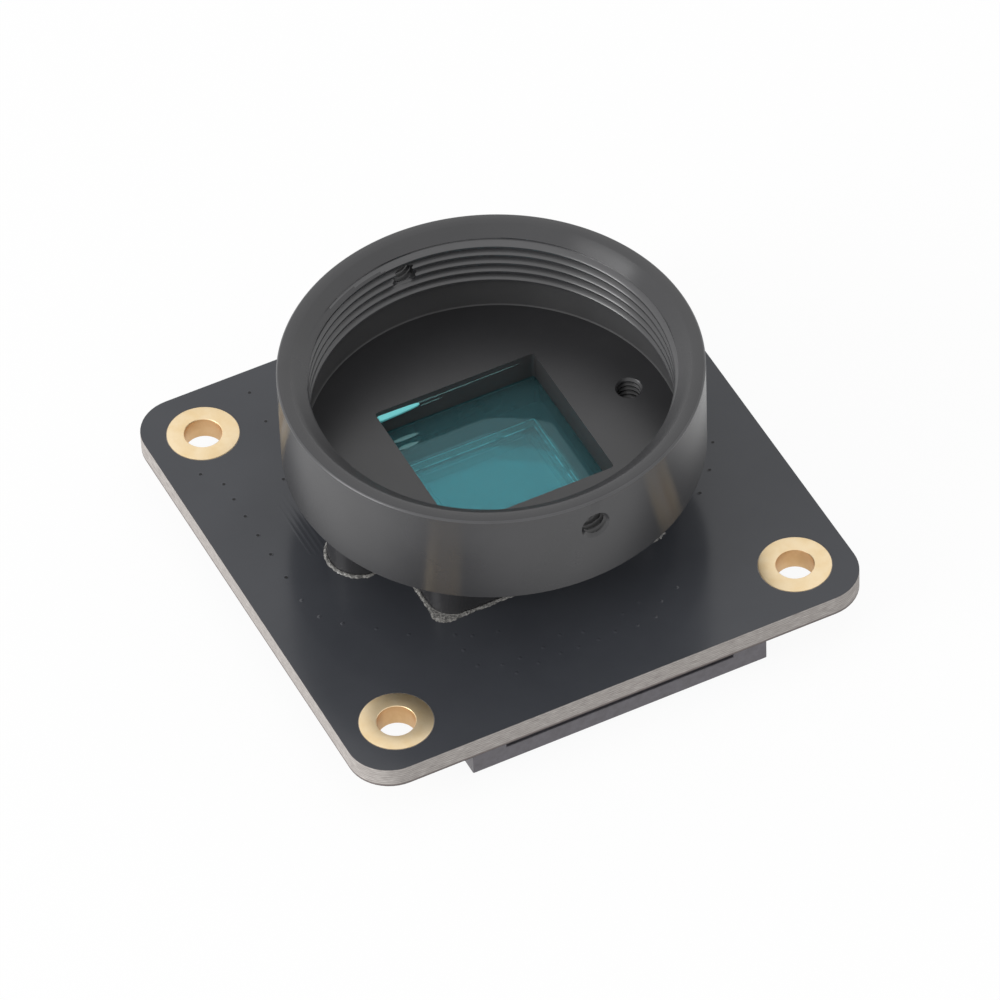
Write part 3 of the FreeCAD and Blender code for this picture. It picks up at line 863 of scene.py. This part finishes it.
filter_sheet = sheet_of_glass("filter_glass", 0.05, 0.01)
piece = as_piece("infrared_filter", filter_sheet, filter_coat, filter_edge_painted_shade, filter_edge_painted_shade,
                 sharp_deg=10)
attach(piece, "camera")
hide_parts("filter_glass")

# Lens mount: turned from aluminium bar, milled below, threaded for the lens and anodised
# black. Collar, floor with its square aperture and foot with two ears are one piece.


def groove(turns):
    """Share of the thread's depth: narrow flat root, sloped flanks and a wider flat crest."""
    away = abs(turns % 1 - 0.5) * 2
    return min(1.0, max(0.0, (0.75 - away) / (0.75 - 0.125)))


def threaded(below, above, crest_r, root_r, pitch, low, high, flare, steps, rows=12):
    """Solid turned round Z that has a right-hand thread between two heights.

    below and above are (radius, height) points, from the axis up to the thread and from it
    back to the axis. flare(z) is the least radius at a height, for a countersunk mouth."""
    drawing = bmesh.new()
    turns = math.ceil((high - low) / pitch)
    columns = []
    for i in range(steps):
        share = i / steps
        column = list(below)
        for k in range(-rows, turns * rows + 1):
            z = min(high, max(low, low + (k / rows + share) * pitch))
            depth = groove((z - low) / pitch - share)
            column.append((max(crest_r + depth * (root_r - crest_r), flare(z)), z))
        column += above
        turn = 2 * math.pi * share
        columns.append([drawing.verts.new((r * math.cos(turn), r * math.sin(turn), z))
                        for r, z in column])
    first = len(below)
    last = len(columns[0]) - len(above) - 1
    for i in range(steps):
        here = columns[i]
        there = columns[(i + 1) % steps]
        shift = rows if i == steps - 1 else 0
        beside = [there[min(m + shift, last)] if first <= m <= last else there[m]
                  for m in range(len(here))]
        for m in range(len(here) - 1):
            corners = list(dict.fromkeys((here[m], beside[m], beside[m + 1], here[m + 1])))
            if len(corners) > 2:
                drawing.faces.new(corners)
    bmesh.ops.remove_doubles(drawing, verts=drawing.verts, dist=1e-5)
    return drawing


turning_pitch = 0.16


def anodised_finish(name, dark, light, roughness, ior, anisotropic):
    """Dyed oxide over turned metal between two hex colours, with rings from the tool."""
    material, tree = new_material(name)
    place = add_node(tree, "ShaderNodeTexCoord").outputs["Object"]
    apart = add_node(tree, "ShaderNodeSeparateXYZ", {0: place})
    flat_place = add_node(tree, "ShaderNodeCombineXYZ", {
        "X": apart.outputs["X"], "Y": apart.outputs["Y"]})
    from_axis = add_node(tree, "ShaderNodeVectorMath", {0: flat_place.outputs[0]},
                         operation="LENGTH")
    section = add_node(tree, "ShaderNodeCombineXYZ", {
        "X": from_axis.outputs["Value"], "Z": apart.outputs["Z"]})
    rings = add_node(tree, "ShaderNodeTexNoise", {
        "Vector": section.outputs[0], "Scale": 1 / (turning_pitch * mm), "Detail": 2.0,
        "Roughness": 0.6})
    cloud = add_node(tree, "ShaderNodeTexNoise", {
        "Vector": place, "Scale": 1 / (4 * mm), "Detail": 3.0})
    bump = add_node(tree, "ShaderNodeBump", {
        "Strength": 0.2, "Distance": 0.01 * mm, "Height": rings.outputs["Fac"]})
    around = add_node(tree, "ShaderNodeTangent", direction_type="RADIAL", axis="Z")
    shader = add_node(tree, "ShaderNodeBsdfPrincipled", {
        "Base Color": color_ramp(tree, cloud.outputs["Fac"], (0.3, dark), (0.7, light)),
        "Roughness": roughness, "IOR": ior, "Anisotropic": anisotropic,
        "Anisotropic Rotation": 0.25, "Normal": bump.outputs[0], "Tangent": around.outputs[0]})
    add_node(tree, "ShaderNodeOutputMaterial", {"Surface": shader.outputs[0]})
    return material


# Black anodised aluminium: satin, its sheen drawn out along the axis by the turning.
anodised = anodised_finish("black_anodised_aluminium", "2c2c2e", "313133", 0.26, 1.65, 0.9)

# The same on the thread's flanks, painted a little lighter and with a stronger mirror: a painted
# sheen that makes the crests shine.
thread_painted_sheen = anodised_finish("anodised_thread_painted_sheen", "323234", "39393b", 0.3, 1.85, 0.5)

# The same in the recess and the aperture: painted much lighter, coarser and dull, a painted light
# that lifts their shade to grey.
recess_painted_light = anodised_finish("anodised_recess_painted_light", "454546", "4d4d4e", 0.6, 1.5, 0.3)

# Outer edge of the rim: painted a lighter grey, a painted highlight along the edge.
rim_painted_highlight = anodised_finish("anodised_rim_painted_highlight", "3c3c3e", "4a4a4c", 0.3, 1.6, 0.5)

mount_low, mount_high = box_mm("lens_mount")
collar_r = (mount_high.x - mount_low.x) / 2
rim_z = mount_high.z
rim_bevel = 0.1
rim_land_r = 13.5
thread_crest_r = 12.3
thread_root_r = 12.72
thread_pitch = 25.4 / 32
thread_low = board_top + 8.55
undercut_r = 12.85
floor_z = board_top + 5.77
seat_z = box_mm("filter_adhesive")[1].z
skirt_top_z = board_top + 5.72
skirt_r = collar_r - (skirt_top_z - seat_z)
lead_in_deg = 39
lead_in_slope = math.tan(math.radians(lead_in_deg))
thread_high = rim_z - 0.3
collar_steps = 240
edge_ease = 0.03
floor_bevel = 0.08


def lead_in(z):
    """Radius of the tapered mouth at a height."""
    return rim_land_r - (rim_z - z) / lead_in_slope


cup = threaded(
    [(0, floor_z), (undercut_r - floor_bevel, floor_z), (undercut_r, floor_z + floor_bevel),
     (undercut_r, thread_low)],
    [(rim_land_r - edge_ease, rim_z - edge_ease * lead_in_slope - 0.01),
     (rim_land_r + edge_ease, rim_z),
     (collar_r - rim_bevel - edge_ease, rim_z),
     (collar_r - rim_bevel + edge_ease, rim_z - edge_ease),
     (collar_r - edge_ease, rim_z - rim_bevel + edge_ease),
     (collar_r, rim_z - rim_bevel - edge_ease),
     (collar_r, skirt_top_z + edge_ease), (collar_r - edge_ease, skirt_top_z - edge_ease / 2),
     (skirt_r, seat_z), (0, seat_z)],
    thread_crest_r, thread_root_r, thread_pitch, thread_low, thread_high, lead_in,
    collar_steps)

foot_half = 8.4
foot_corner_r = 1.8
ear_r = 2.3
foot_top_z = seat_z + 0.2
foot = carved(plate([rounded_square(foot_half, foot_corner_r)], board_top, foot_top_z),
              joined([plate([circle(ear_r, x, y)], board_top, foot_top_z)
                      for x, y in ear_places]), "UNION")
body = carved(cup, foot, "UNION")

aperture_half = 6.04
aperture_corner_r = 0.25
room_half = 6.9
room_corner_r = 0.6
body = carved(body, plate([rounded_square(room_half, room_corner_r)], board_top - 1, seat_z))
body = carved(body, plate([rounded_square(aperture_half, aperture_corner_r)],
                          seat_z - 0.5, floor_z + 1))

screw_crest_r = 0.8
screw_root_r = 1.0
screw_pitch = 0.4
screw_steps = 40
screw_rows = 8
ear_sink_r = 0.94
lock_sink_r = 1.12


def tapped_hole(depth, mouth_r):
    """Cutter for a threaded hole that goes down from z = 0, with a countersunk mouth."""
    sink = mouth_r - screw_crest_r
    return threaded([(0, -depth), (screw_crest_r, -depth)],
                    [(mouth_r + 0.6, 0.6), (0, 0.6)],
                    screw_crest_r, screw_root_r, screw_pitch, -depth, 0.0,
                    lambda z: mouth_r + z if z > -sink else 0.0, screw_steps, screw_rows)


def moved(drawing, x, y, z, turn=None):
    """The same drawing, turned and then shifted."""
    if turn:
        bmesh.ops.rotate(drawing, verts=drawing.verts, matrix=turn)
    bmesh.ops.translate(drawing, verts=drawing.verts, vec=(x, y, z))
    return drawing


lock_hole_z = board_top + 10.65
lock_hole_turn = math.radians(1.9)
lock_hole_depth = collar_r - thread_crest_r + 0.8
drills = [moved(tapped_hole(floor_z - board_top + 0.5, ear_sink_r), x, y, floor_z)
          for x, y in ear_places]
for side in (-1, 1):
    reach = side * (collar_r + 0.03)
    outward = (Matrix.Rotation(lock_hole_turn, 3, "Z")
               @ Matrix.Rotation(math.radians(90 * -side), 3, "X"))
    drills.append(moved(tapped_hole(lock_hole_depth, lock_sink_r),
                        -reach * math.sin(lock_hole_turn), reach * math.cos(lock_hole_turn),
                        lock_hole_z, outward))
body = carved(body, joined(drills))
for face in body.faces:
    spot = face.calc_center_median()
    from_axis = math.hypot(spot.x, spot.y)
    # The rim's outer bevel takes the painted highlight
    if from_axis > collar_r - rim_bevel - edge_ease and spot.z > rim_z - rim_bevel - edge_ease:
        face.material_index = 1
    # The thread's flanks take the painted sheen
    elif (max(thread_crest_r - 0.05, lead_in(spot.z) + 0.04) < from_axis < undercut_r - 0.05
          and spot.z > thread_low):
        face.material_index = 2
    # The recess and the aperture walls take the lighter copy, painted light over their shade
    elif from_axis < undercut_r + 0.05 and floor_z + 0.01 < spot.z < thread_low:
        face.material_index = 3
    elif max(abs(spot.x), abs(spot.y)) < aperture_half + 0.01 and seat_z < spot.z < floor_z - 0.01:
        face.material_index = 3
piece = as_piece("lens_collar", body, anodised, rim_painted_highlight, thread_painted_sheen, recess_painted_light)
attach(piece, "camera")
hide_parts("lens_mount")

# Glue along the aperture: a run of resin on the far edge, thick at its left end, painted bright
# cyan as a painted glint of light from the filter.

# Resin painted bright cyan, with a part metal mirror: a painted glint, wet and bright.
painted_glint_resin = plain_material("resin_painted_cyan_glint", "86eef0", {
    "Metallic": 0.4, "Roughness": 0.3, "IOR": 1.5})

# The same resin in a thin film, half see-through and painted pale cyan: painted glint streaks on
# the wall, and painted reflections of them on the filter.
film_painted_glint = plain_material("thin_film_painted_glint", "b9f2f2", {
    "Roughness": 0.25, "IOR": 1.5, "Alpha": 0.32})


def resin_run(start_x, end_x, height, wall_y, top_z, bulge):
    """Drop drawn out along a wall that faces -Y, thick at its start and fullest low down."""
    drawing = bmesh.new()
    stations = 24
    loops = []
    for i in range(stations + 1):
        share = i / stations
        swell = min(1.0, max(0.01, share) / 0.08) ** 0.5 * (1 - min(0.99, share)) ** 0.22
        loop = []
        for down, out in ((0.0, 0.0), (0.15, 0.28), (0.3, 0.55), (0.45, 0.78), (0.6, 0.95),
                          (0.72, 1.0), (0.85, 0.85), (0.95, 0.5), (1.0, 0.0)):
            loop.append(drawing.verts.new((
                start_x + (end_x - start_x) * share,
                wall_y + 0.02 - bulge * swell * out,
                top_z - height / 2 + height * swell * (0.5 - down))))
        loops.append(loop)
    skin(drawing, loops)
    return drawing


def painted_reflection_streak(start_x, end_x, middle_y, width, level):
    """Flat streak along X on a level face, drawn out at both ends."""
    drawing = bmesh.new()
    stations = 16
    rows = []
    for i in range(stations + 1):
        share = i / stations
        half_width = width / 2 * math.sin(math.pi * min(0.97, max(0.03, share))) ** 0.5
        x = start_x + (end_x - start_x) * share
        rows.append([drawing.verts.new((x, middle_y + across * half_width, level + lift))
                     for across, lift in ((-1, 0.0), (-0.4, 0.012), (0.4, 0.012), (1, 0.0))])
    skin(drawing, rows)
    return drawing


# A drop of resin on the far wall of the aperture, painted bright cyan as a painted glint
drop = resin_run(-6.03, -2.7, 0.52, aperture_half, floor_z - 0.36, 0.36)
piece = as_piece("aperture_resin", drop, painted_glint_resin, sharp_deg=60)
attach(piece, "camera")

filter_top = box_mm("filter_glass")[1].z
glint_film_pieces = [resin_run(-2.95, -0.4, 0.22, aperture_half, floor_z - 0.42, 0.07),
        resin_run(-2.6, -0.9, 0.18, aperture_half, floor_z - 0.8, 0.06),
        resin_run(-0.8, 2.3, 0.2, aperture_half, floor_z - 0.42, 0.06),
        resin_run(2.0, 5.0, 0.16, aperture_half, floor_z - 0.42, 0.05),
        # Two streaks on the filter's top: painted reflections of the glint on the wall above
        painted_reflection_streak(-5.4, -3.3, 5.0, 0.34, filter_top),
        painted_reflection_streak(-5.3, -3.7, 4.25, 0.34, filter_top)]
piece = as_piece("aperture_painted_glints", joined(glint_film_pieces), film_painted_glint, sharp_deg=60)
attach(piece, "camera")

# Mount screws: zinc plated M2 screws with cross recessed cheese heads, driven up through the
# board into the ears.

# Zinc plate, chromated: bright steel grey with a soft cloud.
zinc = speckled_material(
    "zinc_plated_steel", {"Scale": 1 / (0.6 * mm), "Detail": 4.0},
    (0.3, "aeb0b3"), (0.7, "c6c8ca"), {"Metallic": 1.0, "Roughness": 0.28})

head_z = screws_low.z
recess_depth = 0.7
recess_half = 1.0
recess_half_width = 0.24
recess_turn_deg = 20
shank_sink = 0.2
thread_play = 0.02


def cross_recess(x, y):
    """Cutter for a cross recess that narrows towards its bottom."""
    arms = []
    for turn_deg in (0, 90):
        drawing = bmesh.new()
        bmesh.ops.create_cube(drawing, size=1.0)
        for vertex in drawing.verts:
            deep = vertex.co.z > 0
            vertex.co.x *= 2 * recess_half * (0.35 if deep else 1.05)
            vertex.co.y *= 2 * recess_half_width * (0.7 if deep else 1.05)
            vertex.co.z = head_z + (recess_depth if deep else -0.05)
        turn = Matrix.Rotation(math.radians(turn_deg + recess_turn_deg), 3, "Z")
        arms.append(moved(drawing, x, y, 0, turn))
    return carved(arms[0], arms[1], "UNION")


screws = []
for x, y in ear_places:
    head = turned([(0, head_z), (screw_head_r - 0.45, head_z), (screw_head_r - 0.18, head_z + 0.06),
                   (screw_head_r - 0.04, head_z + 0.2), (screw_head_r, head_z + 0.38),
                   (screw_head_r, board_bottom - 0.06), (screw_head_r - 0.05, board_bottom),
                   (0, board_bottom)], 64, x, y)
    screws.append(carved(head, cross_recess(x, y)))
    # The shank carries the ear hole's own thread, a little smaller all round
    shank_low = board_bottom - shank_sink
    core_r = screw_crest_r - thread_play
    shank = threaded([(0, shank_low), (core_r, shank_low)],
                     [(screw_crest_r - 0.25, screws_high.z), (0, screws_high.z)],
                     core_r, screw_root_r - thread_play, screw_pitch,
                     shank_low, screws_high.z - 0.2, lambda z: 0.0, screw_steps, screw_rows)
    screws.append(moved(shank, x, y, 0))
piece = as_piece("mount_screw_pair", joined(screws), zinc)
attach(piece, "camera")
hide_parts("mount_screws")

# Adhesive bead: clear glue run round the foot by hand and cured. It is thin and ragged, and
# drawn out to a point at each corner.
bead_low, bead_high = box_mm("adhesive_bead")
bead_gap = 0.02
bead_width = 0.3
bead_corner_r = 1.1
bead_height = bead_high.z - bead_low.z

# Cured clear glue: milky and half see-through, wet along its crest.
glue, tree = new_material("cured_clear_glue")
place = add_node(tree, "ShaderNodeTexCoord").outputs["Object"]
cloud = add_node(tree, "ShaderNodeTexNoise", {
    "Vector": place, "Scale": 1 / (0.25 * mm), "Detail": 4.0, "Roughness": 0.7})
thin = add_node(tree, "ShaderNodeMapRange", {
    "Value": cloud.outputs["Fac"], "From Min": 0.35, "From Max": 0.65, "To Min": 0.15,
    "To Max": 0.7})
milky = add_node(tree, "ShaderNodeBsdfPrincipled", {
    "Base Color": linear("b4b2ae"), "Roughness": 0.2, "IOR": 1.48,
    "Alpha": thin.outputs[0]})
add_node(tree, "ShaderNodeOutputMaterial", {"Surface": milky.outputs[0]})


def circle_reach(ahead, centre, radius):
    """Distance along a direction to the far side of a circle, or 0 where it misses."""
    middle = ahead.dot(centre)
    inside = radius ** 2 - (centre.length_squared - middle ** 2)
    return middle + math.sqrt(inside) if inside > 0 else 0.0


def foot_reach(turn, grow, corner_r):
    """Distance from the axis to a line round the foot, a margin away from its wall."""
    ahead = Vector((abs(math.cos(turn)), abs(math.sin(turn))))
    half = foot_half + grow
    straight = half / max(ahead)
    if min(ahead) * straight > half - corner_r:
        straight = circle_reach(ahead, Vector((half - corner_r, half - corner_r)), corner_r)
    return max(straight, circle_reach(ahead, Vector((ear_places[1][0], 0)), ear_r + grow))


random.seed(7)
bead_steps = 900
bead = bmesh.new()
loops = []
for i in range(bead_steps):
    turn = 2 * math.pi * i / bead_steps
    reach = foot_reach(turn, bead_gap, foot_corner_r + bead_gap)
    full = foot_reach(turn, bead_gap + bead_width, bead_corner_r) - reach
    spot = Vector((reach * math.cos(turn), reach * math.sin(turn), 0))
    ripple = noise.noise(spot * 1.7) * 0.5 + noise.noise(spot * 6.0) * 0.35
    point = abs(math.sin(2 * turn)) ** 150
    wide = full * (0.8 + 0.5 * ripple + random.uniform(-0.07, 0.07)) + 0.25 * point
    wide = min(max(wide, 0.3 * bead_width), full + 0.3)
    high = bead_height * (0.7 + 0.4 * noise.noise(spot * 2.3 + Vector((5, 0, 0))))
    high = min(high, bead_height)
    loop = []
    for out, lift in ((0.0, 0.0), (0.0, 0.75 * high), (0.35 * wide, high), (0.7 * wide, 0.7 * high),
                      (0.93 * wide, 0.25 * high), (wide, 0.0)):
        loop.append(bead.verts.new(((reach + out) * math.cos(turn), (reach + out) * math.sin(turn),
                                    board_top + lift)))
    loops.append(loop)
skin(bead, loops, closed=True)
piece = as_piece("glue_bead", bead, glue, sharp_deg=70)
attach(piece, "camera")
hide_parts("adhesive_bead")

# Studio: a pale floor under the part and white surroundings, as in a product photo.
floor_size = 6.0
floor_gap = 0.05
glow_share = 0.93
floor_mesh = bpy.data.meshes.new("studio_floor")
half = floor_size / 2
floor_height = cad_box[0].z - floor_gap * mm
floor_mesh.from_pydata([(x, y, floor_height) for x, y in (
    (-half, -half), (half, -half), (half, half), (-half, half))], [], [(0, 1, 2, 3)])
floor = bpy.data.objects.new("studio_floor", floor_mesh)
bpy.context.collection.objects.link(floor)


def seen_rays(tree):
    """1 on the rays of the camera, of mirrors and of glass, and 0 on those that carry light."""
    rays = add_node(tree, "ShaderNodeLightPath")
    seen = rays.outputs["Is Camera Ray"]
    for kind in ("Is Glossy Ray", "Is Transmission Ray"):
        seen = add_node(tree, "ShaderNodeMath", {0: seen, 1: rays.outputs[kind]},
                        operation="MAXIMUM").outputs[0]
    return seen


# Floor paper: white to the camera and to mirrors, and it keeps some of the part's shadow.
paper, tree = new_material("white_floor_paper")
share = add_node(tree, "ShaderNodeMath", {0: seen_rays(tree), 1: glow_share},
                 operation="MULTIPLY")
matt = add_node(tree, "ShaderNodeBsdfPrincipled", {
    "Base Color": linear("f7f7f7"), "Roughness": 0.9})
white = add_node(tree, "ShaderNodeEmission", {"Color": linear("ffffff"), "Strength": 1.0})
shader = add_node(tree, "ShaderNodeMixShader", {
    0: share.outputs[0], 1: matt.outputs[0], 2: white.outputs[0]})
add_node(tree, "ShaderNodeOutputMaterial", {"Surface": shader.outputs[0]})
floor_mesh.materials.append(paper)

# Surroundings: white to the camera and in reflections, and a plain soft fill elsewhere.
fill_level = 0.8
world = bpy.data.worlds.new("white_studio")
world.use_nodes = True
tree = world.node_tree
tree.nodes.clear()
level = add_node(tree, "ShaderNodeMapRange", {
    "Value": seen_rays(tree), "To Min": fill_level, "To Max": 1.0})
sky = add_node(tree, "ShaderNodeBackground", {
    "Color": linear("ffffff"), "Strength": level.outputs[0]})
add_node(tree, "ShaderNodeOutputWorld", {"Surface": sky.outputs[0]})
bpy.context.scene.world = world


def soft_box(name, place, size, watts):
    """Square area lamp that faces the part."""
    lamp = bpy.data.lights.new(name, "AREA")
    lamp.size = size
    lamp.energy = watts
    holder = bpy.data.objects.new(name, lamp)
    holder.location = place
    holder.rotation_euler = (-Vector(place)).to_track_quat("-Z", "Y").to_euler()
    bpy.context.collection.objects.link(holder)


soft_box("key_lamp", (-0.66, 0.02, 0.22), 0.4, 3.3)

# Camera: far off with a long lens, level with the photo's own, a little rolled.
view_azimuth = math.radians(-24.933)
view_elevation = math.radians(46.78)
view_roll = math.radians(2.43)
view_distance = 0.5956
focal_length = 315.22
sensor_width = 36.0
target = Vector((0.145 * mm, -0.241 * mm, board_top * mm))
sight = Vector((math.sin(view_azimuth) * math.cos(view_elevation),
                -math.cos(view_azimuth) * math.cos(view_elevation), math.sin(view_elevation)))
camera_data = bpy.data.cameras.new("camera")
camera_data.lens = focal_length
camera_data.sensor_width = sensor_width
camera_data.clip_start = 0.01
camera_data.clip_end = 20.0
camera = bpy.data.objects.new("camera", camera_data)
camera.location = target + sight * view_distance
camera.rotation_mode = "QUATERNION"
camera.rotation_quaternion = ((-sight).to_track_quat("-Z", "Y")
                              @ Quaternion((0, 0, 1), -view_roll))
bpy.context.collection.objects.link(camera)
bpy.context.scene.camera = camera
bpy.context.scene.view_settings.view_transform = "Standard"
